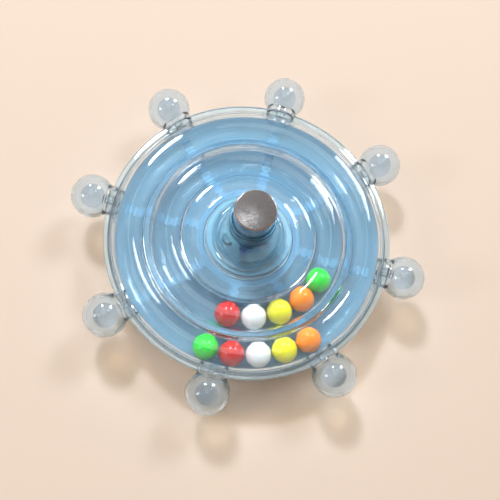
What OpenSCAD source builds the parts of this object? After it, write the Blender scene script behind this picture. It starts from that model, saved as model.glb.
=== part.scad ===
// Light-up spinning top: a clear ring-channel disc with eight ball-ended light
// bulbs, two runs of loose coloured balls, a magnet post and a battery hub.
// Z is the spin axis and the origin is the lowest point of the spinning tip.

/* [Disc] */
// Radius of the rim flange
rim_r = 36; // [32:0.5:44]
// Width of the flange outside the domed cover
flange_w = 1.5; // [1.2:0.1:2.5]
// Thickness of each half of the flange
flange_t = 1.0; // [0.8:0.1:1.6]
// Height of the joint between the two shells above the tip
rim_z = 12; // [11:0.5:16]
// Wall of the upper shell
shell_wall = 1.15; // [0.8:0.05:1.5]
// Wall of the lower shell
base_wall = 0.9; // [0.7:0.05:1.4]

/* [Ball runs] */
// Diameter of a loose ball
ball_d = 6.3; // [4.5:0.1:7.6]
// Space left all round a ball in its channel
ball_clear = 0.3; // [0.2:0.05:0.5]
// Gap between neighbouring balls of a run
ball_gap = 0.15; // [0.05:0.05:0.4]
// Distance between the centre lines of the two channels
run_pitch = 9.3; // [9:0.1:11.5]
// Wall of the channel tray
tray_wall = 0.6; // [0.5:0.05:0.9]
// Angle of the middle of the outer run, where it settles
outer_run_angle = -94; // [-180:1:180]
// Angle of the middle of the inner run, where it settles
inner_run_angle = -77; // [-180:1:180]

/* [Bulbs] */
// Outside diameter of a bulb
bulb_d = 10.8; // [9:0.1:13]
// Wall of a bulb
bulb_wall = 0.8; // [0.6:0.05:1.2]
// Distance from the rim to the centre of a bulb
bulb_reach = 4.3; // [3.6:0.1:5.4]
// Outside diameter of a bulb's collar
collar_d = 7.7; // [6.5:0.1:9.2]
// Wall of a bulb's collar
collar_wall = 0.7; // [0.5:0.05:0.9]
// Diameter of the light pin's stub
stub_d = 2.2; // [1.8:0.1:2.6]
// Width of a light guide arm
arm_w = 2.4; // [2:0.1:3.4]
// Spacing of the notches along an arm
notch_pitch = 2.1; // [1.7:0.1:3]

/* [Magnet post] */
// Diameter of the disc magnet
magnet_d = 10; // [8:0.5:12]
// Height of the disc magnet
magnet_h = 10; // [8:0.5:12]
// Depth of the magnet in its cup
magnet_sink = 3.5; // [2.5:0.1:5]
// Height of the post from the hub to the rim of its cup
post_h = 12.9; // [10:0.1:15.5]
// Wall of the post
post_wall = 0.6; // [0.5:0.05:0.9]
// Radius of the foot of the post
foot_r = 8.65; // [7.3:0.05:8.7]
// Diameter of the steel core under the magnet
core_d = 3.6; // [3:0.1:4.4]

/* [Battery hub] */
// Diameter of a button cell
cell_d = 11.6; // [9.6:0.1:11.8]
// Height of a button cell
cell_h = 3.05; // [2.5:0.05:3.7]
// Wall of the battery holder, which takes the door screws
holder_wall = 3.8; // [3.6:0.1:4.6]
// Thickness of the battery door
door_t = 1.9; // [1.6:0.1:2.4]
// Thickness of the circuit board
board_t = 1.0; // [0.8:0.1:1.6]
// Diameter of the steel tip
tip_d = 3; // [2.6:0.1:3.6]
// Diameter of a door screw
screw_d = 1.4; // [1.2:0.1:1.6]

/* [Fits] */
// Clearance between parts that slot into each other
fit = 0.05; // [0.03:0.01:0.08]

/* [Hidden] */
COUNT = 8;
STEP_ANGLE = 360 / COUNT;
FIRST_ANGLE = STEP_ANGLE / 2;
BALL_NAMES = ["green", "red", "white", "yellow", "orange"];
INNER_NAMES = ["red", "white", "yellow", "orange", "green"];
FRAME_NODES = ["upper_shell", "lower_shell", "channel_tray", "light_spider", "post", "magnet",
    "core_pin", "circuit_board", "led_red", "led_green", "led_blue", "spin_switch", "timer_chip",
    "battery_holder", "positive_contact", "cell_upper", "cell_lower", "negative_contact",
    "battery_door", "door_screws", "spin_tip"];
$fn = 64;

// disc and channels
dome_r = rim_r - flange_w;
ball_r = ball_d / 2;
bore_r = ball_r + ball_clear;
arch_r = bore_r + shell_wall;
trough_r = bore_r + tray_wall;
outer_run_r = dome_r - arch_r;
inner_run_r = outer_run_r - run_pitch;
web_half = run_pitch / 2 - bore_r + 0.4;
web_h = 1.6;
plate_t = 1.1;
plate_z = rim_z - plate_t;
arm_room = 1.0;

// battery hub, from the tip upwards
door_z = 1.9;
door_top = door_z + door_t;
boss_r = 3.2;
boss_z = 1.0;
contact_h = 0.5;
cell_z = door_top + contact_h;
cells_top = cell_z + 2 * cell_h;
leaf_t = 0.2;
pocket_r = cell_d / 2 + 0.1;
holder_r = pocket_r + holder_wall;
holder_z = door_top + fit;
roof_z = cells_top + leaf_t;
holder_flange_t = 0.5;
holder_top = roof_z + 0.8;
bay_r = holder_r + 0.1;
bay_wall = 1.0;
bay_top = holder_top - holder_flange_t;
bay_out = bay_r + bay_wall;
base_z = door_z + 0.4;
hub_z = holder_top + board_t;
screw_r = screw_d / 2;
screw_pcd_r = (pocket_r + holder_r) / 2;

// post and hub of the upper shell
foot_z = hub_z + fit;
foot_flange_r = foot_r + 0.75;
foot_flange_t = 0.7;
board_r = foot_flange_r - 0.2;
lip_z = foot_z + foot_flange_t + fit;
lip_t = 1.15;
hub_bore = foot_r + 0.1;
skirt_in = foot_flange_r + 0.1;
skirt_out = bay_out - 0.2;
magnet_r = magnet_d / 2;
cup_r = magnet_r + fit + post_wall;
cup_z = hub_z + post_h;
magnet_z = cup_z - magnet_sink;
cup_floor = 1.0;
core_r = core_d / 2;

// lower shell
low_z = rim_z - trough_r - arm_room;
cone_slope = (low_z - base_wall - base_z) / (outer_run_r - bay_out);
function cone_z(r) = base_z + (r - bay_out) * cone_slope;
shoulder_r = dome_r - 1.6;
function lower_outline(grow) = [
    [shoulder_r + grow, cone_z(shoulder_r) - grow],
    [dome_r + 0.2 + grow, (cone_z(shoulder_r) + rim_z - flange_t) / 2],
    [dome_r + 0.5 + grow, rim_z - flange_t]];
inner_shoulder_r = shoulder_r - 0.5;
arm_end = inner_shoulder_r - 0.2;

// bulbs
bulb_r = bulb_d / 2;
bulb_at = rim_r + bulb_reach;
collar_r = collar_d / 2;
collar_bore = collar_r - collar_wall;
stub_r = stub_d / 2;
stub_start = outer_run_r + trough_r + 0.15;
bead_r = min(collar_bore - 0.2, bulb_r - bulb_wall - 0.5);

function bulb_angle(i) = FIRST_ANGLE + STEP_ANGLE * (i - 1);
function ball_step(run_r) = 2 * asin((ball_d + ball_gap) / 2 / run_r);

// a ring with a rectangular section
module ring(r0, r1, z0, z1) {
    rotate_extrude() translate([r0, z0]) square([r1 - r0, z1 - z0]);
}

// the half plane of a section above or below the joint of the shells
module above(z) { translate([0, z]) square([2 * rim_r, 2 * rim_r]); }
module below(z) { translate([0, z - 2 * rim_r]) square([2 * rim_r, 2 * rim_r]); }

module run_circles(r) {
    translate([outer_run_r, rim_z]) circle(r);
    translate([inner_run_r, rim_z]) circle(r);
}

// radial holes on the joint for the stubs of the light pins
module stub_holes() {
    for (i = [1:COUNT])
        rotate([0, 0, bulb_angle(i)]) translate([stub_start - fit, 0, rim_z])
            rotate([0, 90, 0]) cylinder(h = rim_r, r = stub_r + fit);
}

// the dished ring between the inner channel and the hub
module hub_dish_section() {
    valley_r = inner_run_r - arch_r + 0.5;
    crest_r = (hub_bore + valley_r) / 2;
    lip_top = lip_z + lip_t;
    polygon([
        [valley_r + 1.2, rim_z], [valley_r + 1.2, rim_z + 1.5], [valley_r, rim_z + 1.3],
        [(valley_r + crest_r) / 2, (rim_z + 1.5 + lip_top) / 2 + 0.3],
        [crest_r, lip_top + 0.5], [hub_bore + 0.8, lip_top + 0.4], [hub_bore, lip_top],
        [hub_bore, lip_z], [skirt_in, lip_z], [skirt_in, holder_top + fit],
        [skirt_out, holder_top + fit], [skirt_out, lip_top - 0.9], [crest_r, lip_top - 0.6],
        [(valley_r + crest_r) / 2 - 0.2, (rim_z + lip_top) / 2 - 0.2], [valley_r - 0.5, rim_z]]);
}

module upper_section() {
    difference() {
        union() {
            intersection() { run_circles(arch_r); above(rim_z); }
            translate([outer_run_r - run_pitch / 2 - web_half, rim_z]) square([2 * web_half, web_h]);
            translate([dome_r - shell_wall / 2, rim_z])
                square([rim_r - dome_r + shell_wall / 2, flange_t]);
            hub_dish_section();
        }
        run_circles(bore_r);
    }
}

module upper_shell() {
    color([0.62, 0.82, 0.94, 0.45]) difference() {
        rotate_extrude() upper_section();
        stub_holes();
    }
}

module lower_shell() {
    out = lower_outline(0);
    color([0.55, 0.78, 0.92, 0.45]) difference() {
        rotate_extrude() polygon([
            [bay_r, base_z], [bay_out, base_z], out[0], out[1], out[2], [rim_r, out[2][1]],
            [rim_r, rim_z], [stub_start - fit, rim_z], [out[2][0] - base_wall, out[2][1]],
            [out[1][0] - base_wall, out[1][1] + 0.2],
            [inner_shoulder_r, cone_z(inner_shoulder_r) + base_wall],
            [bay_out, base_z + base_wall], [bay_out, bay_top], [bay_r, bay_top]]);
        stub_holes();
    }
}

module channel_tray() {
    color([0.66, 0.84, 0.95, 0.45]) rotate_extrude() difference() {
        union() {
            intersection() { run_circles(trough_r); below(rim_z); }
            translate([outer_run_r - run_pitch / 2 - web_half, plate_z]) square([2 * web_half, plate_t]);
            translate([bay_out + 0.2, plate_z])
                square([inner_run_r - bore_r - bay_out + 0.1, plate_t]);
        }
        run_circles(bore_r);
    }
}

// plan of one notched arm
module arm_plan() {
    start = bay_out + 0.2 + fit;
    translate([start, -arm_w / 2]) difference() {
        square([arm_end - start, arm_w]);
        for (x = [notch_pitch:notch_pitch:arm_end - start - 1], side = [0, 1])
            translate([x, side * (arm_w - 0.5) - 0.01]) square([0.7, 0.52]);
    }
}

// clear moulding of eight notched arms that leads the light out to the rim
module light_spider() {
    hub_r = bay_out + 0.2 + fit;
    color([0.80, 0.90, 0.98, 0.6]) intersection() {
        translate([0, 0, base_z]) linear_extrude(rim_z - base_z) {
            difference() {
                circle(hub_r + 1.6);
                circle(hub_r);
            }
            for (i = [1:COUNT]) rotate(bulb_angle(i)) arm_plan();
        }
        rotate_extrude() difference() {
            polygon([
                [hub_r, cone_z(hub_r) + base_wall + fit],
                [arm_end, cone_z(arm_end) + base_wall + fit],
                [arm_end, plate_z - fit], [hub_r, plate_z - fit]]);
            run_circles(trough_r + fit);
        }
    }
}

// a hollow ball with a collar that straddles the rim flange
module bulb(i) {
    color([0.82, 0.91, 0.99, 0.4]) rotate([0, 0, bulb_angle(i)]) difference() {
        translate([bulb_at, 0, rim_z]) union() {
            sphere(bulb_r);
            rotate([0, -90, 0]) cylinder(h = bulb_at - dome_r + 1.5, r = collar_r);
        }
        translate([bulb_at, 0, rim_z]) {
            sphere(bulb_r - bulb_wall);
            rotate([0, -90, 0]) cylinder(h = bulb_at - dome_r + 2.5, r = collar_bore);
        }
        rotate_extrude() {
            translate([outer_run_r, rim_z]) circle(arch_r + fit);
            translate([outer_run_r, rim_z - flange_t - fit])
                square([rim_r + fit - outer_run_r, 2 * (flange_t + fit)]);
            out = lower_outline(fit);
            polygon([out[0], out[1], out[2], [outer_run_r, rim_z], [outer_run_r, out[0][1]]]);
        }
    }
}

// bead in the bulb, and the stub that the shells clamp
module light_pin(i) {
    color([0.75, 0.86, 0.98, 0.7]) rotate([0, 0, bulb_angle(i)]) translate([bulb_at, 0, rim_z]) {
        sphere(bead_r);
        rotate([0, -90, 0]) cylinder(h = bulb_at - stub_start, r = stub_r);
    }
}

// radius of the post's flare, from the foot at 0 to the cup at 1
function flare_r(t) = cup_r + (foot_r - 0.75 - cup_r) * pow(1 - t, 2.2);

module post() {
    ring_top = lip_z + lip_t + 0.3;
    flare_h = magnet_z - cup_floor - ring_top;
    steps = 8;
    outer = [for (k = [0:steps]) [flare_r(k / steps), ring_top + flare_h * k / steps]];
    inner = [for (k = [steps:-1:0]) [flare_r(k / steps) - 0.9, ring_top + flare_h * k / steps]];
    color([0.70, 0.85, 0.93, 0.5]) rotate_extrude() polygon(concat(
        [[flare_r(0) - 0.9, foot_z], [foot_flange_r, foot_z], [foot_flange_r, foot_z + foot_flange_t],
            [foot_r, foot_z + foot_flange_t], [foot_r, ring_top - 0.4], [foot_r - 0.4, ring_top]],
        outer,
        [[cup_r, cup_z], [magnet_r + fit, cup_z], [magnet_r + fit, magnet_z],
            [core_r + fit, magnet_z], [core_r + fit, magnet_z - cup_floor]],
        inner));
}

// nickel-plated disc magnet with a broken edge
module magnet() {
    edge = 0.35;
    top = magnet_z + magnet_h;
    color([0.75, 0.75, 0.74]) rotate_extrude() polygon([
        [0, magnet_z], [magnet_r - edge, magnet_z], [magnet_r, magnet_z + edge],
        [magnet_r, top - edge], [magnet_r - edge, top], [0, top]]);
}

module core_pin() {
    color([0.45, 0.40, 0.36]) translate([0, 0, hub_z]) cylinder(h = magnet_z - hub_z, r = core_r);
}

module circuit_board() {
    color([0.16, 0.35, 0.22]) ring(0, board_r, holder_top, hub_z);
}

// one clear LED, standing on the board around the core
module led(angle, tint) {
    led_r = 0.9;
    at_r = core_r + led_r + 0.6;
    color(tint) rotate([0, 0, angle]) translate([at_r, 0, hub_z]) {
        cylinder(h = 2.2, r = led_r);
        translate([0, 0, 2.2]) sphere(led_r);
    }
}

// motion switch that wakes the lights when the top spins
module spin_switch() {
    can_r = 0.9;
    can_l = 4;
    color([0.72, 0.70, 0.62]) rotate([0, 0, 60])
        translate([core_r + can_r + 1.6, can_l / 2, hub_z + can_r + 0.1])
            rotate([90, 0, 0]) cylinder(h = can_l, r = can_r);
}

module timer_chip() {
    color([0.08, 0.08, 0.09]) rotate([0, 0, 180])
        translate([core_r + 3, 0, hub_z]) cylinder(h = 0.7, r1 = 1.5, r2 = 1.0);
}

module battery_holder() {
    lead_at = pocket_r + 0.35;
    color([0.13, 0.15, 0.17]) difference() {
        union() {
            ring(0, holder_r, holder_z, holder_top);
            ring(holder_r - 0.5, bay_out, bay_top + fit, holder_top);
        }
        translate([0, 0, holder_z - 1]) cylinder(h = roof_z - holder_z + 1, r = pocket_r);
        translate([0, 0, roof_z - 1]) cylinder(h = 3, r = 0.7);
        translate([-1.1, -lead_at - 0.4, holder_z - 1]) cube([2.2, 0.9, 20]);
        for (side = [-1, 1])
            translate([side * screw_pcd_r, 0, holder_z - 1]) cylinder(h = 5, r = screw_r + fit);
    }
}

module positive_contact() {
    color([0.80, 0.66, 0.38]) {
        translate([0, 0, cells_top]) cylinder(h = leaf_t, r = 3.5);
        translate([0, 0, cells_top]) cylinder(h = holder_top - cells_top, r = 0.6);
    }
}

// a button cell with its raised cap
module cell(z) {
    cap_h = 0.3;
    color([0.78, 0.78, 0.76]) translate([0, 0, z]) {
        cylinder(h = cell_h - cap_h, r = cell_d / 2);
        translate([0, 0, cell_h - cap_h]) cylinder(h = cap_h, r = cell_d / 2 - 1.2);
    }
}

// sprung leaf under the cells, with its lead up to the board
module negative_contact() {
    lead_at = pocket_r + 0.35;
    leaf_r = 4.2;
    bump_r = 0.6;
    color([0.80, 0.66, 0.38]) {
        translate([0, 0, door_top]) cylinder(h = leaf_t, r = leaf_r);
        for (a = [45:90:315])
            rotate([0, 0, a]) translate([2.8, 0, door_top]) cylinder(h = contact_h, r = bump_r);
        translate([-0.8, -lead_at - 0.1, door_top]) cube([1.6, lead_at + 0.1, leaf_t]);
        translate([-0.8, -lead_at - 0.1, door_top]) cube([1.6, 0.3, holder_top - door_top]);
    }
}

module battery_door() {
    tip_r = tip_d / 2;
    head_room = screw_r + 0.75;
    color([0.50, 0.72, 0.88, 0.6]) difference() {
        rotate_extrude() polygon([
            [0, boss_z], [boss_r - 0.4, boss_z], [boss_r, door_z],
            [holder_r - 0.4, door_z], [holder_r, door_z + 0.4], [holder_r, door_top], [0, door_top]]);
        cylinder(h = door_top + 1, r = tip_r + fit);
        translate([0, 0, door_top - 0.8]) cylinder(h = 2, r = tip_r + 1.1 + fit);
        for (side = [-1, 1]) translate([side * screw_pcd_r, 0, 0]) {
            cylinder(h = door_top + 1, r = screw_r + fit);
            cylinder(h = door_z + 0.8, r = head_room);
        }
    }
}

module door_screws() {
    head_r = screw_r + 0.65;
    color([0.55, 0.55, 0.56]) for (side = [-1, 1]) translate([side * screw_pcd_r, 0, door_z]) {
        difference() {
            cylinder(h = 0.8, r = head_r);
            for (a = [0, 90]) rotate([0, 0, a]) translate([-0.9, -0.15, -0.5]) cube([1.8, 0.3, 0.9]);
        }
        cylinder(h = door_t + 3, r = screw_r);
    }
}

// domed steel pin that the top spins on, with a head held by the door
module spin_tip() {
    tip_r = tip_d / 2;
    color([0.70, 0.70, 0.72]) {
        translate([0, 0, tip_r]) sphere(tip_r);
        translate([0, 0, tip_r]) cylinder(h = door_top - tip_r, r = tip_r);
        translate([0, 0, door_top - 0.8]) cylinder(h = 0.8, r = tip_r + 1.1);
    }
}

function tint(name) = name == "green" ? [0.05, 0.85, 0.22] : name == "red" ? [0.80, 0.08, 0.10]
    : name == "white" ? [0.94, 0.94, 0.95] : name == "yellow" ? [0.96, 0.95, 0.08] : [0.98, 0.50, 0.06];

// the k-th loose ball of a run, with its neighbours on both sides
module ball(run_r, middle, k, name) {
    color(tint(name)) rotate([0, 0, middle + (k - 2) * ball_step(run_r)])
        translate([run_r, 0, rim_z]) sphere(ball_r);
}

upper_shell();
lower_shell();
channel_tray();
light_spider();
post();
magnet();
core_pin();
circuit_board();
led(0, [0.9, 0.5, 0.5, 0.7]);  // led_red
led(120, [0.5, 0.9, 0.6, 0.7]);  // led_green
led(240, [0.5, 0.6, 0.95, 0.7]);  // led_blue
spin_switch();
timer_chip();
battery_holder();
positive_contact();
cell(cell_z + cell_h);  // cell_upper
cell(cell_z);  // cell_lower
negative_contact();
battery_door();
door_screws();
spin_tip();
for (i = [1:COUNT]) {
    bulb(i);
    light_pin(i);
}
for (k = [0:len(BALL_NAMES) - 1]) {
    outer_name = BALL_NAMES[k];
    inner_name = INNER_NAMES[k];
    ball(outer_run_r, outer_run_angle, k, outer_name);
    ball(inner_run_r, inner_run_angle, k, inner_name);
}
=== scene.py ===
"""Dresses a clear light-up spinning top: blue polystyrene shells, bulbs, balls, magnet post and battery hub."""

import logging
import math
import random
from dataclasses import dataclass, field
from enum import Enum

import bmesh
import bpy
from mathutils import Matrix, Vector


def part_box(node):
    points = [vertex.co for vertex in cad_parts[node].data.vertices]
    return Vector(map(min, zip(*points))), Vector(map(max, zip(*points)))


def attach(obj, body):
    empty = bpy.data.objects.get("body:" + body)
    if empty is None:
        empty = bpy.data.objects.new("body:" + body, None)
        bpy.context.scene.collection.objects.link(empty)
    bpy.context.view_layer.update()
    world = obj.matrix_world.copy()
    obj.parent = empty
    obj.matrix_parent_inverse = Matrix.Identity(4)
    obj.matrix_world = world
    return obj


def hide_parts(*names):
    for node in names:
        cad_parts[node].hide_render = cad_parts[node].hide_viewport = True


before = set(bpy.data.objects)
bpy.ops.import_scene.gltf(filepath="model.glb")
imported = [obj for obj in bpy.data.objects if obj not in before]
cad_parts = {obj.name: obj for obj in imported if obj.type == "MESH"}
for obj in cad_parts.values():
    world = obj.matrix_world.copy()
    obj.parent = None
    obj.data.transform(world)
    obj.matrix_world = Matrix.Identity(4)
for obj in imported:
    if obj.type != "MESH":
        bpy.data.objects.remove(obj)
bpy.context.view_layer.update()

MM = 0.001
BODY = "top_body"
LOG = logging.getLogger("top")
Outline = list[tuple[float, float]]


def hex_linear(code: str) -> tuple[float, float, float, float]:
    """Turns an sRGB hex colour into linear red, green, blue and alpha.

    Args:
        code: six hex digits.

    Returns:
        The linear colour with an alpha of 1.
    """
    parts = [int(code[i : i + 2], 16) / 255 for i in (0, 2, 4)]
    linear = [c / 12.92 if c <= 0.04045 else ((c + 0.055) / 1.055) ** 2.4 for c in parts]
    return (*linear, 1.0)


def add_node(
    tree: bpy.types.NodeTree, kind: str, settings: dict[str, object], links: dict[str, bpy.types.NodeSocket]
) -> bpy.types.Node:
    """Adds one node with its settings and its links.

    Args:
        tree: the node tree.
        kind: the node's type name.
        settings: values for input sockets, or for the node's own properties.
        links: an output socket for each input socket named.

    Returns:
        The new node.
    """
    node = tree.nodes.new(kind)
    for name, value in settings.items():
        if name in node.inputs:
            node.inputs[name].default_value = value
        else:
            setattr(node, name, value)
    for name, source in links.items():
        tree.links.new(source, node.inputs[int(name)] if name.isdigit() else node.inputs[name])
    return node


def new_material(name: str) -> tuple[bpy.types.Material, bpy.types.NodeTree, bpy.types.Node]:
    """Makes an empty material.

    Args:
        name: the material's name.

    Returns:
        The material, its tree and its output node.
    """
    material = bpy.data.materials.new(name)
    material.use_nodes = True
    material.node_tree.nodes.clear()
    output = material.node_tree.nodes.new("ShaderNodeOutputMaterial")
    return material, material.node_tree, output


def object_noise(tree: bpy.types.NodeTree, size_mm: float, detail: float) -> bpy.types.Node:
    """Adds a noise on Object coordinates whose grain has a real size.

    Args:
        tree: the node tree.
        size_mm: width of one grain of the noise in millimetres.
        detail: octaves of finer grain.

    Returns:
        The noise node.
    """
    place = add_node(tree, "ShaderNodeTexCoord", {}, {})
    return add_node(
        tree,
        "ShaderNodeTexNoise",
        {"Scale": 1 / (size_mm * MM), "Detail": detail},
        {"Vector": place.outputs["Object"]},
    )


@dataclass(frozen=True)
class ClearPlastic:
    """Clear injection-moulded polystyrene: glassy and slightly uneven where the melt flowed."""

    name: str
    tint: str
    depth_tint: str
    depth: float
    shadow_tint: str
    roughness: float = 0.015
    ior: float = 1.50
    flow_mm: float = 7.0
    flow_bump: float = 0.05
    clarity: float = 1.0
    haze: str = "FFFFFF"

    def build(self) -> bpy.types.Material:
        """Makes the material, whose shadow is the light that the real plastic lets through."""
        material, tree, output = new_material(self.name)
        flow = object_noise(tree, self.flow_mm, 1.0)
        bump = add_node(
            tree, "ShaderNodeBump", {"Strength": self.flow_bump, "Distance": 0.4 * MM}, {"Height": flow.outputs["Fac"]}
        )
        plastic = add_node(
            tree,
            "ShaderNodeBsdfPrincipled",
            {
                "Base Color": hex_linear(self.tint if self.clarity > 0.99 else self.haze),
                "Roughness": self.roughness,
                "IOR": self.ior,
                "Transmission Weight": self.clarity,
            },
            {"Normal": bump.outputs["Normal"]},
        )
        through = add_node(tree, "ShaderNodeBsdfTransparent", {"Color": hex_linear(self.shadow_tint)}, {})
        path = add_node(tree, "ShaderNodeLightPath", {}, {})
        mix = add_node(
            tree,
            "ShaderNodeMixShader",
            {},
            {"0": path.outputs["Is Shadow Ray"], "1": plastic.outputs["BSDF"], "2": through.outputs["BSDF"]},
        )
        body = add_node(
            tree, "ShaderNodeVolumeAbsorption", {"Color": hex_linear(self.depth_tint), "Density": self.depth}, {}
        )
        tree.links.new(mix.outputs["Shader"], output.inputs["Surface"])
        tree.links.new(body.outputs["Volume"], output.inputs["Volume"])
        return material


@dataclass(frozen=True)
class SolidPlastic:
    """Opaque moulded plastic or cast resin, with a faint mottle of its pigment and a fine skin."""

    name: str
    colour: str
    mottle: str
    roughness: float = 0.18
    grain_mm: float = 1.2
    skin_bump: float = 0.03
    coat: float = 0.0

    def build(self) -> bpy.types.Material:
        """Makes the material."""
        material, tree, output = new_material(self.name)
        grain = object_noise(tree, self.grain_mm, 3.0)
        mix = add_node(
            tree,
            "ShaderNodeMix",
            {"data_type": "RGBA"},
            {"0": grain.outputs["Fac"]},
        )
        mix.inputs[6].default_value = hex_linear(self.colour)
        mix.inputs[7].default_value = hex_linear(self.mottle)
        bump = add_node(
            tree, "ShaderNodeBump", {"Strength": self.skin_bump, "Distance": 0.1 * MM}, {"Height": grain.outputs["Fac"]}
        )
        plastic = add_node(
            tree,
            "ShaderNodeBsdfPrincipled",
            {"Roughness": self.roughness, "IOR": 1.53, "Coat Weight": self.coat, "Coat Roughness": 0.04},
            {"Base Color": mix.outputs[2], "Normal": bump.outputs["Normal"]},
        )
        tree.links.new(plastic.outputs["BSDF"], output.inputs["Surface"])
        return material


@dataclass(frozen=True)
class BareMetal:
    """Plated, rolled or turned metal, with handling scuffs that change its gloss and shade."""

    name: str
    colour: str
    worn: str
    roughness: float
    rough_span: float
    scuff_mm: float = 0.35
    scuff_bump: float = 0.1

    def build(self) -> bpy.types.Material:
        """Makes the material."""
        material, tree, output = new_material(self.name)
        scuff = object_noise(tree, self.scuff_mm, 6.0)
        patch = object_noise(tree, self.scuff_mm * 9, 2.0)
        both = add_node(
            tree,
            "ShaderNodeMath",
            {"operation": "MULTIPLY"},
            {"0": scuff.outputs["Fac"], "1": patch.outputs["Fac"]},
        )
        share = add_node(
            tree,
            "ShaderNodeMapRange",
            {"From Min": 0.12, "From Max": 0.42},
            {"Value": both.outputs["Value"]},
        )
        shade = add_node(
            tree, "ShaderNodeMix", {"data_type": "RGBA"}, {"0": share.outputs["Result"]}
        )
        shade.inputs[6].default_value = hex_linear(self.colour)
        shade.inputs[7].default_value = hex_linear(self.worn)
        rough = add_node(
            tree,
            "ShaderNodeMapRange",
            {"To Min": self.roughness, "To Max": self.roughness + self.rough_span},
            {"Value": share.outputs["Result"]},
        )
        bump = add_node(
            tree, "ShaderNodeBump", {"Strength": self.scuff_bump, "Distance": 0.02 * MM}, {"Height": both.outputs["Value"]}
        )
        metal = add_node(
            tree,
            "ShaderNodeBsdfPrincipled",
            {"Metallic": 1.0},
            {
                "Base Color": shade.outputs[2],
                "Roughness": rough.outputs["Result"],
                "Normal": bump.outputs["Normal"],
            },
        )
        tree.links.new(metal.outputs["BSDF"], output.inputs["Surface"])
        return material


class Finishes(Enum):
    """Every finish on the top, named for its real material."""

    # Faintly blue clear polystyrene: colourless face on, and blue along its edges.
    COVER = ClearPlastic(
        "clear_polystyrene_cover", "FCFEFE", "84DEFF", 40.0, "FAF9F7", flow_bump=0.03, clarity=0.985, haze="F8FCFE"
    )
    BASE = ClearPlastic(
        "clear_polystyrene_base", "F8FCFE", "84DEFF", 45.0, "D0BA9A", clarity=0.9, haze="EAF6FC"
    )
    # Light blue polystyrene with a little haze: the tray gives the disc its colour.
    TRAY = ClearPlastic(
        "blue_polystyrene_tray", "E8F4FA", "7CDCF8", 240.0, "C6B296", clarity=0.77, haze="A6D6F4"
    )
    # Near colourless polystyrene: only its edges look blue.
    BULB = ClearPlastic(
        "clear_polystyrene_bulb", "FDFEFE", "7CD4FF", 170.0, "E4DACC", flow_bump=0.004, clarity=0.97, haze="FAFDFF"
    )
    BEAD = ClearPlastic("clear_polystyrene_bead", "FBFCFE", "98CCEC", 80.0, "DCD2C4", flow_bump=0.004)
    # The light guide's notched arms are slightly frosted, so they catch the light.
    GUIDE = ClearPlastic(
        "frosted_polystyrene_guide", "F4F9FD", "7CDAFF", 60.0, "F4F2F0", 0.1, clarity=0.1, haze="FCFEFF"
    )
    POST = ClearPlastic("blue_polystyrene_post", "F6FAFC", "84DEFA", 40.0, "E4E2E0", flow_bump=0.02)
    # Glossy moulded ABS balls.
    GREEN = SolidPlastic("green_abs", "0CDC38", "08D030", 0.12, coat=0.5)
    RED = SolidPlastic("red_abs", "CC0A10", "C0080C", 0.12, coat=0.5)
    WHITE = SolidPlastic("white_abs", "F1F2F4", "E8E9EC", 0.12, coat=0.5)
    YELLOW = SolidPlastic("yellow_abs", "F4EE1C", "ECE112", 0.12, coat=0.5)
    ORANGE = SolidPlastic("orange_abs", "FF8C04", "FA8402", 0.12, coat=0.5)
    # Nickel plate: bright, with a fine grey speckle from handling.
    NICKEL = BareMetal("nickel_plate", "C6C7CA", "6A6A6E", 0.11, 0.16)
    # Copper underlayer where the plating has worn off the magnet's edge.
    COPPER = BareMetal("worn_copper_edge", "B98A63", "7A5238", 0.25, 0.2)
    # Oiled turned steel: nearly black, with sharp streaks.
    CORE = BareMetal("oiled_turned_steel", "6E6258", "2E2823", 0.18, 0.15)
    STEEL = BareMetal("zinc_plated_steel", "B9B9B8", "8F8F8E", 0.28, 0.2)
    TIP = BareMetal("polished_steel", "CFCFCE", "A8A8A6", 0.10, 0.1)
    BRONZE = BareMetal("spring_bronze", "CFA566", "9F7740", 0.25, 0.15)
    # Blue solder resist over glass epoxy: satin.
    BOARD = SolidPlastic("blue_solder_resist", "5F93AE", "568AA6", 0.35)
    HOLDER = SolidPlastic("blue_abs_holder", "7FB0C8", "78A9C2", 0.3)
    EPOXY = SolidPlastic("blue_grey_epoxy", "5A8AA2", "52829A", 0.3)
    LENS_RED = ClearPlastic("red_epoxy_lens", "F5C0BE", "F08A86", 400.0, "F0B0AC")
    LENS_GREEN = ClearPlastic("green_epoxy_lens", "C4F0CE", "8FE6A4", 400.0, "B4EEC2")
    LENS_BLUE = ClearPlastic("blue_epoxy_lens", "C4D0F6", "8AA6F2", 400.0, "B0C2F4")


class Palette:
    """Builds each finish once and hands it out."""

    def __init__(self) -> None:
        """Starts with nothing built."""
        self.built: dict[Finishes, bpy.types.Material] = {}

    def get(self, finish: Finishes) -> bpy.types.Material:
        """The material for a finish, built the first time it is asked for."""
        if finish not in self.built:
            self.built[finish] = finish.value.build()
        return self.built[finish]


def arc(
    at: tuple[float, float], radius: float, start: float, end: float, steps: int, ripple: float = 0.0
) -> Outline:
    """Points along an arc of a section.

    Args:
        at: centre as radius and height, in millimetres.
        radius: radius of the arc.
        start: first angle in degrees, from outwards towards up.
        end: last angle in degrees.
        steps: number of spans.
        ripple: height of the fine rings that the mould's turning marks leave.

    Returns:
        The points in order.
    """
    points = []
    for k in range(steps + 1):
        a = math.radians(start + (end - start) * k / steps)
        swell = math.sin(a * 17) * 0.6 + math.sin(a * 41 + 1.3) * 0.4
        r = radius + ripple * swell * math.sin(math.pi * k / steps)
        points.append((at[0] + r * math.cos(a), at[1] + r * math.sin(a)))
    return points


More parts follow.
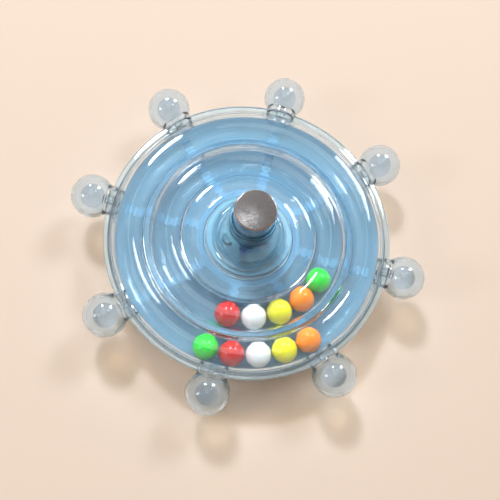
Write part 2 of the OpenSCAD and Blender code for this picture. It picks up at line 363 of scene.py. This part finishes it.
def turned(outline: Outline, steps: int) -> bmesh.types.BMesh:
    """Spins a closed section round the Z axis.

    Args:
        outline: the section's corners as radius and height in millimetres.
        steps: spans of a full turn.

    Returns:
        The closed solid, with its faces pointing outwards.
    """
    bm = bmesh.new()
    corners = [bm.verts.new((r * MM, 0, z * MM)) for r, z in outline]
    edges = [bm.edges.new(pair) for pair in zip(corners, corners[1:] + corners[:1], strict=True)]
    bmesh.ops.spin(
        bm,
        geom=corners + edges,
        cent=(0, 0, 0),
        axis=(0, 0, 1),
        angle=2 * math.pi,
        steps=steps,
        use_merge=True,
        use_duplicate=False,
    )
    bmesh.ops.remove_doubles(bm, verts=bm.verts, dist=0.002 * MM)
    flat = [e for e in bm.edges if not e.link_faces]
    bmesh.ops.delete(bm, geom=flat, context="EDGES")
    bmesh.ops.recalc_face_normals(bm, faces=bm.faces)
    return bm


def sharpen(bm: bmesh.types.BMesh, degrees: float) -> None:
    """Smooths every face and marks the edges that turn by more than an angle."""
    for face in bm.faces:
        face.smooth = True
    for edge in bm.edges:
        if len(edge.link_faces) == 2:
            edge.smooth = edge.calc_face_angle(0.0) < math.radians(degrees)


def add_piece(name: str, bm: bmesh.types.BMesh, body: str, stands_for: list[str]) -> bpy.types.Object:
    """Makes an object of a bmesh and enters it in the frame.

    Args:
        name: the piece's name.
        bm: its mesh, which is freed.
        body: the body that it rides on.
        stands_for: the CAD nodes that it replaces.

    Returns:
        The object.
    """
    mesh = bpy.data.meshes.new(name)
    bm.to_mesh(mesh)
    bm.free()
    piece = bpy.data.objects.new(name, mesh)
    bpy.context.scene.collection.objects.link(piece)
    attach(piece, body)
    if stands_for:
        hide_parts(*stands_for)
    LOG.info("%s: %d faces", name, len(mesh.polygons))
    return piece


@dataclass
class DiscShells:
    """The two shells and the channel tray that carry the ball runs, in millimetres."""

    palette: Palette
    rim_r: float = 36.0
    dome_r: float = 34.5
    rim_z: float = 12.0
    flange_t: float = 1.0
    outer_run_r: float = 29.9
    inner_run_r: float = 20.6
    bore_r: float = 3.45
    arch_r: float = 4.6
    trough_r: float = 4.05
    hub_bore: float = 8.75
    bay_r: float = 9.8
    bay_out: float = 10.8
    base_z: float = 2.3
    low_z: float = 6.0
    steps: int = 160
    rib_pitch: float = 1.3
    rib_h: float = 0.16
    ring_h: float = 0.07
    crest_h: float = 0.012

    def dish(self, r: float) -> float:
        """Height of the top of the ridge between the inner channel and the hub, at a radius."""
        start, end = self.inner_run_r - self.arch_r + 0.6, self.hub_bore
        t = (start - r) / (start - end)
        return self.rim_z + 1.45 + 1.55 * math.sin(min(t, 0.72) / 0.72 * math.pi / 2) ** 2 - 0.5 * max(0.0, t - 0.72)

    def cover(self) -> bpy.types.Object:
        """The domed cover with its two arched rings."""
        z = self.rim_z
        top = [(self.rim_r, z), (self.rim_r, z + 0.7), (self.rim_r - 0.12, z + 0.92), (self.rim_r - 0.35, z + 1.0)]
        top += arc((self.outer_run_r, z), self.arch_r, 13, 152, 60, self.crest_h)
        top += arc((self.inner_run_r, z), self.arch_r, 27, 153, 60, self.crest_h)
        span = self.inner_run_r - self.arch_r + 0.4 - self.hub_bore
        top += [(self.hub_bore + span * (1 - k / 14), self.dish(self.hub_bore + span * (1 - k / 14))) for k in range(14)]
        under = [(self.hub_bore, self.dish(self.hub_bore)), (self.hub_bore, z + 1.2), (self.hub_bore + 0.75, z + 1.2)]
        under += [(self.hub_bore + 0.75, z - 0.55), (10.6, z - 0.55), (10.6, z + 1.5)]
        under += [(r, self.dish(r) - 1.1) for r in (11.6, 12.8, 14.0, 15.2)] + [(16.0, z)]
        under += arc((self.inner_run_r, z), self.bore_r, 180, 0, 60, self.crest_h)
        under += arc((self.outer_run_r, z), self.bore_r, 180, 0, 60, self.crest_h)
        bm = turned(top + under, self.steps)
        sharpen(bm, 40)
        piece = add_piece("cover", bm, BODY, ["upper_shell"])
        piece.data.materials.append(self.palette.get(Finishes.COVER))
        return piece

    def tray(self) -> bpy.types.Object:
        """The tray with the lower halves of both channels."""
        z = self.rim_z - 0.02
        low = z - 1.1
        dip = math.degrees(math.asin(1.1 / self.trough_r))
        out = arc((self.outer_run_r, z), self.bore_r, 0, -180, 60, self.ring_h)
        out += arc((self.inner_run_r, z), self.bore_r, 0, -180, 60, self.ring_h)
        out += [(self.bay_out + 0.2, z), (self.bay_out + 0.2, low)]
        out += arc((self.inner_run_r, z), self.trough_r, -180 + dip, -dip, 60, self.ring_h)
        out += arc((self.outer_run_r, z), self.trough_r, -180 + dip, 0, 60, self.ring_h)
        bm = turned(out, self.steps)
        sharpen(bm, 40)
        piece = add_piece("tray", bm, BODY, ["channel_tray"])
        piece.data.materials.append(self.palette.get(Finishes.TRAY))
        return piece

    def cone_z(self, r: float) -> float:
        """Height of the base's outside at a radius."""
        slope = (self.low_z - 0.05 - self.base_z) / (self.outer_run_r - self.bay_out)
        return self.base_z + (r - self.bay_out) * slope

    def base(self) -> bpy.types.Object:
        """The lower shell, whose inside has fine concentric ribs that break up the light."""
        z, wall = self.rim_z - 0.02, 0.9
        ribs = int((32.2 - self.bay_out) / self.rib_pitch * 8)
        inside = []
        for k in range(ribs + 1):
            r = self.bay_out + 0.05 + (32.2 - self.bay_out - 0.05) * k / ribs
            dip = self.rib_h * (0.5 - 0.5 * math.cos(math.pi / 4 * k)) * (0 < k < ribs)
            inside.append((r, self.cone_z(r) + wall - 0.03 - dip))
        out = [(self.bay_r, self.base_z), (self.bay_out, self.base_z), (32.6, self.cone_z(32.6))]
        out += [(33.6, self.cone_z(33.4) + 0.25), (34.35, self.cone_z(33.6) + 1.1), (34.75, 8.8), (34.98, 11.0)]
        out += [(35.65, 11.0), (35.88, 11.08), (36.0, 11.3), (36.0, z), (34.05, z), (34.02, 11.0), (33.75, 8.95)]
        out += [(33.3, 7.9)]
        out += inside[::-1] + [(self.bay_out, 10.85), (self.bay_r, 10.85)]
        bm = turned(out, self.steps)
        sharpen(bm, 40)
        piece = add_piece("base", bm, BODY, ["lower_shell"])
        piece.data.materials.append(self.palette.get(Finishes.BASE))
        return piece

    def build(self) -> None:
        """Makes the three mouldings."""
        self.cover()
        self.tray()
        self.base()


@dataclass
class Bulbs:
    """The eight hollow bulbs and the light pins in them, in millimetres."""

    palette: Palette
    count: int = 8
    at_r: float = 40.3
    at_z: float = 12.0
    out_r: float = 5.4
    in_r: float = 4.6
    collar_r: float = 3.85
    collar_bore: float = 3.15
    collar_start: float = 34.75
    bead_r: float = 2.95
    stub_r: float = 1.1
    stub_start: float = 34.1

    def lay_down(self, bm: bmesh.types.BMesh) -> None:
        """Turns a shape that was spun round Z to point along X at the first bulb's height."""
        bmesh.ops.transform(bm, matrix=Matrix.Rotation(math.pi / 2, 4, "Y"), verts=bm.verts)
        bmesh.ops.translate(bm, vec=Vector((0, 0, self.at_z * MM)), verts=bm.verts)

    def shell_outline(self) -> Outline:
        """Section of a bulb round its own axis, from the collar's mouth to its far pole and back inside."""
        start = math.degrees(math.asin(self.collar_r / self.out_r))
        inner = math.degrees(math.asin(self.collar_bore / self.in_r))
        begin = self.collar_start
        outer = [(self.collar_bore, begin), (self.collar_r - 0.1, begin), (self.collar_r, begin + 0.1)]
        outer += [(self.collar_r, begin + 1.1), (self.collar_r - 0.12, begin + 1.25)]
        outer += arc((0, self.at_r), self.out_r, -90 + start, 90, 34)
        return outer + arc((0, self.at_r), self.in_r, 90, -90 + inner, 30)

    def slotted(self, bm: bmesh.types.BMesh) -> bmesh.types.BMesh:
        """Cuts the slot for the rim flange out of a bulb's collar.

        Args:
            bm: the bulb, lying along X.

        Returns:
            The cut bulb.
        """
        mesh = bpy.data.meshes.new("uncut")
        bm.to_mesh(mesh)
        bm.free()
        blank = bpy.data.objects.new("uncut", mesh)
        edge, thick = 36.05, 1.05
        ring = turned(
            [(30, self.at_z - thick), (edge, self.at_z - thick), (edge, self.at_z + thick), (30, self.at_z + thick)], 160
        )
        tool_mesh = bpy.data.meshes.new("slot_tool")
        ring.to_mesh(tool_mesh)
        ring.free()
        tool = bpy.data.objects.new("slot_tool", tool_mesh)
        for piece in (blank, tool):
            bpy.context.scene.collection.objects.link(piece)
        cut = blank.modifiers.new("slot", "BOOLEAN")
        cut.operation = "DIFFERENCE"
        cut.solver = "EXACT"
        cut.object = tool
        bpy.context.view_layer.update()
        result = bmesh.new()
        result.from_mesh(blank.evaluated_get(bpy.context.evaluated_depsgraph_get()).to_mesh())
        for piece in (blank, tool):
            bpy.data.objects.remove(piece)
        return result

    def build(self) -> None:
        """Makes each bulb and its light pin."""
        for number in range(1, self.count + 1):
            turn = Matrix.Rotation(math.radians(22.5 + 45 * (number - 1)), 4, "Z")
            shell = turned(self.shell_outline(), 56)
            self.lay_down(shell)
            shell = self.slotted(shell)
            bmesh.ops.transform(shell, matrix=turn, verts=shell.verts)
            sharpen(shell, 35)
            bulb = add_piece(f"bulb_shell_{number}", shell, BODY, [f"bulb_{number}"])
            bulb.data.materials.append(self.palette.get(Finishes.BULB))
            start = math.degrees(math.asin(self.stub_r / self.bead_r))
            outline = [(0, self.stub_start), (self.stub_r - 0.1, self.stub_start), (self.stub_r, self.stub_start + 0.1)]
            outline += arc((0, self.at_r), self.bead_r, -90 + start, 90, 26)
            pin = turned(outline, 40)
            self.lay_down(pin)
            bmesh.ops.transform(pin, matrix=turn, verts=pin.verts)
            sharpen(pin, 35)
            light = add_piece(f"bead_{number}", pin, BODY, [f"light_pin_{number}"])
            light.data.materials.append(self.palette.get(Finishes.BEAD))


@dataclass
class BallRuns:
    """The ten loose balls, each on its own body, in millimetres."""

    palette: Palette
    ball_r: float = 3.15
    seam_w: float = 0.07
    seam_depth: float = 0.02
    finishes: dict[str, Finishes] = field(
        default_factory=lambda: {
            "green": Finishes.GREEN,
            "red": Finishes.RED,
            "white": Finishes.WHITE,
            "yellow": Finishes.YELLOW,
            "orange": Finishes.ORANGE,
        }
    )

    def build(self) -> None:
        """Makes each ball with the fine moulding seam round it."""
        rng = random.Random(11)
        tilt = math.degrees(self.seam_w / self.ball_r)
        outline = arc((0, 0), self.ball_r, -90, -tilt, 20)
        outline += [(self.ball_r - self.seam_depth, 0)] + arc((0, 0), self.ball_r, tilt, 90, 20)
        for run in ("outer", "inner"):
            for name, finish in self.finishes.items():
                node = f"{run}_ball_{name}"
                low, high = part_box(node)
                centre = (Vector(low) + Vector(high)) / 2
                bm = turned(outline, 48)
                roll = Matrix.Rotation(rng.uniform(0, math.pi), 4, "X") @ Matrix.Rotation(rng.uniform(0, 6.2), 4, "Z")
                bmesh.ops.transform(bm, matrix=Matrix.Translation(centre) @ roll, verts=bm.verts)
                sharpen(bm, 60)
                piece = add_piece(f"{run}_{name}_ball", bm, f"{run}_{name}", [node])
                piece.data.materials.append(self.palette.get(finish))


@dataclass
class MagnetPost:
    """The flared clear post, its steel core and the plated magnet, in millimetres."""

    palette: Palette
    foot_z: float = 12.45
    foot_r: float = 8.65
    cup_r: float = 5.65
    cup_z: float = 25.3
    magnet_z: float = 21.8
    magnet_r: float = 5.0
    magnet_h: float = 10.0
    core_r: float = 1.8

    def flare(self, t: float) -> float:
        """Radius of the flare, from the foot at 0 to the cup at 1."""
        return self.cup_r + (self.foot_r - 0.75 - self.cup_r) * (1 - t) ** 2.2

    def post(self) -> None:
        """The clear post."""
        ring_top, steps = 14.65, 22
        rise = self.magnet_z - 1.0 - ring_top
        outer = [(self.flare(k / steps), ring_top + rise * k / steps) for k in range(steps + 1)]
        inner = [(self.flare(k / steps) - 0.9, ring_top + rise * k / steps) for k in range(steps, -1, -1)]
        foot = [(self.flare(0) - 0.9, self.foot_z), (self.foot_r + 0.72, self.foot_z), (self.foot_r + 0.72, self.foot_z + 0.68)]
        foot += [(self.foot_r - 0.02, self.foot_z + 0.68), (self.foot_r - 0.02, ring_top - 0.3)]
        foot += [(self.foot_r - 0.12, ring_top - 0.1), (self.foot_r - 0.35, ring_top)]
        cup = [(self.cup_r, self.cup_z - 0.12), (self.cup_r - 0.1, self.cup_z), (self.magnet_r + 0.12, self.cup_z)]
        cup += [(self.magnet_r + 0.03, self.cup_z - 0.1), (self.magnet_r + 0.03, self.magnet_z)]
        cup += [(self.core_r + 0.05, self.magnet_z), (self.core_r + 0.05, self.magnet_z - 1.0)]
        bm = turned(foot + outer + cup + inner, 96)
        sharpen(bm, 35)
        piece = add_piece("magnet_post", bm, BODY, ["post"])
        piece.data.materials.append(self.palette.get(Finishes.POST))

    def magnet(self) -> None:
        """The magnet, with its plating worn through on its edges."""
        edge, low, high = 0.3, self.magnet_z + 0.02, self.magnet_z + self.magnet_h
        outline = [(0, low)] + arc((self.magnet_r - edge, low + edge), edge, -90, 0, 6)
        outline += arc((self.magnet_r - edge, high - edge), edge, 0, 90, 8) + [(0, high)]
        bm = turned(outline, 96)
        for face in bm.faces:
            middle = face.calc_center_median()
            turn = math.degrees(math.asin(max(-1.0, min(1.0, face.normal.z))))
            worn = middle.z > (high - edge) * MM and 8 < turn < 66
            face.material_index = 1 if worn else 0
        sharpen(bm, 60)
        piece = add_piece("plated_magnet", bm, BODY, ["magnet"])
        piece.data.materials.append(self.palette.get(Finishes.NICKEL))
        piece.data.materials.append(self.palette.get(Finishes.COPPER))

    def build(self) -> None:
        """Makes the post and its magnet."""
        self.post()
        self.magnet()


@dataclass
class HubParts:
    """The parts inside and under the hub, whose CAD shapes are shown as they are."""

    palette: Palette
    finishes: dict[str, Finishes] = field(
        default_factory=lambda: {
            "light_spider": Finishes.GUIDE,
            "core_pin": Finishes.CORE,
            "circuit_board": Finishes.BOARD,
            "led_red": Finishes.LENS_RED,
            "led_green": Finishes.LENS_GREEN,
            "led_blue": Finishes.LENS_BLUE,
            "spin_switch": Finishes.STEEL,
            "timer_chip": Finishes.EPOXY,
            "battery_holder": Finishes.HOLDER,
            "positive_contact": Finishes.BRONZE,
            "negative_contact": Finishes.BRONZE,
            "cell_upper": Finishes.STEEL,
            "cell_lower": Finishes.STEEL,
            "battery_door": Finishes.BASE,
            "door_screws": Finishes.STEEL,
            "spin_tip": Finishes.TIP,
        }
    )

    def build(self) -> None:
        """Gives each CAD node its finish."""
        for name, finish in self.finishes.items():
            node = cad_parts[name]
            node.data.materials.clear()
            node.data.materials.append(self.palette.get(finish))
            LOG.info("%s: %s", name, finish.value.name)


@dataclass
class Studio:
    """The camera, the lamps and the pale floor, in metres."""

    camera_at: tuple[float, float, float] = (-0.02739, -0.06256, 0.20851)
    right: tuple[float, float, float] = (0.9845, -0.1494, 0.0919)
    up: tuple[float, float, float] = (0.1156, 0.9466, 0.3008)
    lens: float = 59.6
    floor_hex: str = "F6E4D5"
    fill: float = 0.2

    def camera(self) -> None:
        """A camera that looks steeply down on the disc, rolled a little."""
        data = bpy.data.cameras.new("camera")
        data.lens = self.lens
        data.sensor_width = 36
        data.clip_start = 0.01
        camera = bpy.data.objects.new("camera", data)
        right, up = Vector(self.right).normalized(), Vector(self.up)
        up = (up - right * up.dot(right)).normalized()
        back = right.cross(up)
        turn = Matrix((right, up, back)).transposed().to_4x4()
        camera.matrix_world = Matrix.Translation(self.camera_at) @ turn
        bpy.context.scene.collection.objects.link(camera)
        bpy.context.scene.camera = camera

    def lamp(self, name: str, at: tuple[float, float, float], size: float, power: float, shape: str = "DISK") -> None:
        """An area lamp that faces the disc.

        Args:
            name: the lamp's name.
            at: where it hangs.
            size: its width.
            power: its power in watts.
            shape: DISK or SQUARE.
        """
        data = bpy.data.lights.new(name, "AREA")
        data.shape = shape
        data.size = size
        data.energy = power
        lamp = bpy.data.objects.new(name, data)
        lamp.location = at
        lamp.rotation_euler = (Vector(at) - Vector((0, 0, 0.01))).to_track_quat("Z", "Y").to_euler()
        bpy.context.scene.collection.objects.link(lamp)

    def floor(self) -> None:
        """A wide matt floor at the tip's height."""
        bm = bmesh.new()
        bmesh.ops.create_grid(bm, x_segments=2, y_segments=2, size=3.0)
        mesh = bpy.data.meshes.new("floor")
        bm.to_mesh(mesh)
        bm.free()
        floor = bpy.data.objects.new("floor", mesh)
        bpy.context.scene.collection.objects.link(floor)
        material, tree, output = new_material("pale_paper")
        grain = object_noise(tree, 0.6, 2.0)
        bump = add_node(tree, "ShaderNodeBump", {"Strength": 0.02, "Distance": 0.1 * MM}, {"Height": grain.outputs["Fac"]})
        paper = add_node(
            tree,
            "ShaderNodeBsdfPrincipled",
            {"Base Color": hex_linear(self.floor_hex), "Roughness": 0.9, "Specular IOR Level": 0.1},
            {"Normal": bump.outputs["Normal"]},
        )
        tree.links.new(paper.outputs["BSDF"], output.inputs["Surface"])
        mesh.materials.append(material)

    def world(self) -> None:
        """A pale surround that fills the shadows and shows in the gloss."""
        world = bpy.data.worlds.new("surround")
        world.use_nodes = True
        tree = world.node_tree
        tree.nodes.clear()
        path = add_node(tree, "ShaderNodeLightPath", {}, {})
        seen = path.outputs["Is Camera Ray"]
        for kind in ("Is Glossy Ray", "Is Transmission Ray"):
            joined = add_node(tree, "ShaderNodeMath", {"operation": "MAXIMUM"}, {"0": seen, "1": path.outputs[kind]})
            seen = joined.outputs["Value"]
        early = add_node(
            tree, "ShaderNodeMath", {"operation": "LESS_THAN"}, {"0": path.outputs["Diffuse Depth"]}
        )
        early.inputs[1].default_value = 0.5
        joined = add_node(
            tree, "ShaderNodeMath", {"operation": "MULTIPLY"}, {"0": seen, "1": early.outputs["Value"]}
        )
        seen = joined.outputs["Value"]
        fill = add_node(tree, "ShaderNodeBackground", {"Color": hex_linear("FFE8D0"), "Strength": self.fill}, {})
        place = add_node(tree, "ShaderNodeTexCoord", {}, {})
        height = add_node(tree, "ShaderNodeSeparateXYZ", {}, {"Vector": place.outputs["Generated"]})
        glow = add_node(
            tree,
            "ShaderNodeMapRange",
            {"From Min": 0.45, "From Max": 0.95, "To Min": 1.0, "To Max": 0.3},
            {"Value": height.outputs["Z"]},
        )
        shown = add_node(
            tree, "ShaderNodeBackground", {"Color": hex_linear("F8EBE2")}, {"Strength": glow.outputs["Result"]}
        )
        mix = add_node(
            tree,
            "ShaderNodeMixShader",
            {},
            {"0": seen, "1": fill.outputs["Background"], "2": shown.outputs["Background"]},
        )
        add_node(tree, "ShaderNodeOutputWorld", {}, {"Surface": mix.outputs["Shader"]})
        bpy.context.scene.world = world

    def build(self) -> None:
        """Sets the stage."""
        self.camera()
        self.floor()
        self.world()
        self.lamp("key", (-0.12, 0.62, 0.80), 0.16, 5.4)
        self.lamp("right_box", (0.45, 0.36, 0.62), 0.20, 2.2, "SQUARE")
        self.lamp("left_box", (-0.62, -0.05, 0.45), 0.16, 0.7, "SQUARE")
        self.lamp("top_box", (-0.10, 0.02, 1.0), 0.55, 0.8)
        self.lamp("magnet_card", (0.085, 0.275, 0.96), 0.10, 0.045, "SQUARE")
        scene = bpy.context.scene
        scene.view_settings.view_transform = "Standard"
        scene.cycles.max_bounces = 28
        scene.cycles.transmission_bounces = 28
        scene.cycles.transparent_max_bounces = 28


def main() -> None:
    """Builds the stage and each sub-assembly in order."""
    logging.basicConfig(level=logging.INFO, format="%(name)s: %(message)s")
    palette = Palette()
    Studio().build()
    DiscShells(palette).build()
    Bulbs(palette).build()
    BallRuns(palette).build()
    MagnetPost(palette).build()
    HubParts(palette).build()


if __name__ == "__main__":
    main()
